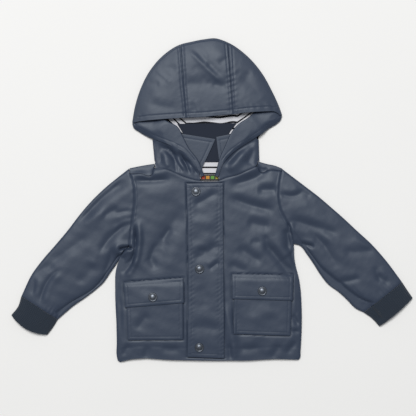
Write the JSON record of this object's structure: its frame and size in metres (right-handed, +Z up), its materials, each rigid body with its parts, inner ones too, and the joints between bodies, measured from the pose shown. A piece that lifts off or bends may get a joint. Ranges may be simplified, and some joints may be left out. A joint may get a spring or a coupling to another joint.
{
  "type": "kids raincoat",
  "caption": "Hooded toddler raincoat in dark navy coated cloth, laid flat with its front up, with a snap storm flap, flap pockets and ribbed cuffs.",
  "frame": {"origin": "on the surface the coat lies on, under the middle of its outline", "axes": "+X to the right of the front as it is seen from above, cuff to cuff; +Y from hem to hood; +Z up, out of the front"},
  "size_m": [0.6638, 0.5338, 0.0166],
  "materials": {
    "coated_cloth": "matt polyurethane coated cloth, dark slate navy, soft satin sheen on its folds",
    "navy_jersey": "plain dark navy jersey on the inside of the stand collar",
    "rib_knit": "dark navy cotton rib knit",
    "striped_jersey": "white cotton jersey lining with navy stripes",
    "woven_label": "plain dark woven label with coloured blocks and no lettering",
    "snap_metal": "gunmetal snap caps, plain domes with a rolled rim"
  },
  "bodies": {
    "root": {"back": "coated_cloth", "front_left": "coated_cloth", "front_right": "coated_cloth", "sleeve_left": "coated_cloth", "sleeve_right": "coated_cloth", "hood_left": "coated_cloth", "hood_centre": "coated_cloth", "hood_right": "coated_cloth", "hood_facing_left": "coated_cloth", "hood_facing_right": "coated_cloth", "collar_left": "coated_cloth", "collar_right": "coated_cloth", "storm_flap": "coated_cloth", "pocket_left": "coated_cloth", "pocket_right": "coated_cloth", "pocket_flap_left": "coated_cloth", "pocket_flap_right": "coated_cloth", "collar_back": "navy_jersey", "cuff_left": "rib_knit", "cuff_right": "rib_knit", "hood_lining": "striped_jersey", "neck_lining": "striped_jersey", "label": "woven_label", "snap_top": "snap_metal", "snap_middle": "snap_metal", "snap_bottom": "snap_metal", "snap_pocket_left": "snap_metal", "snap_pocket_right": "snap_metal"}
  },
  "joints": []
}
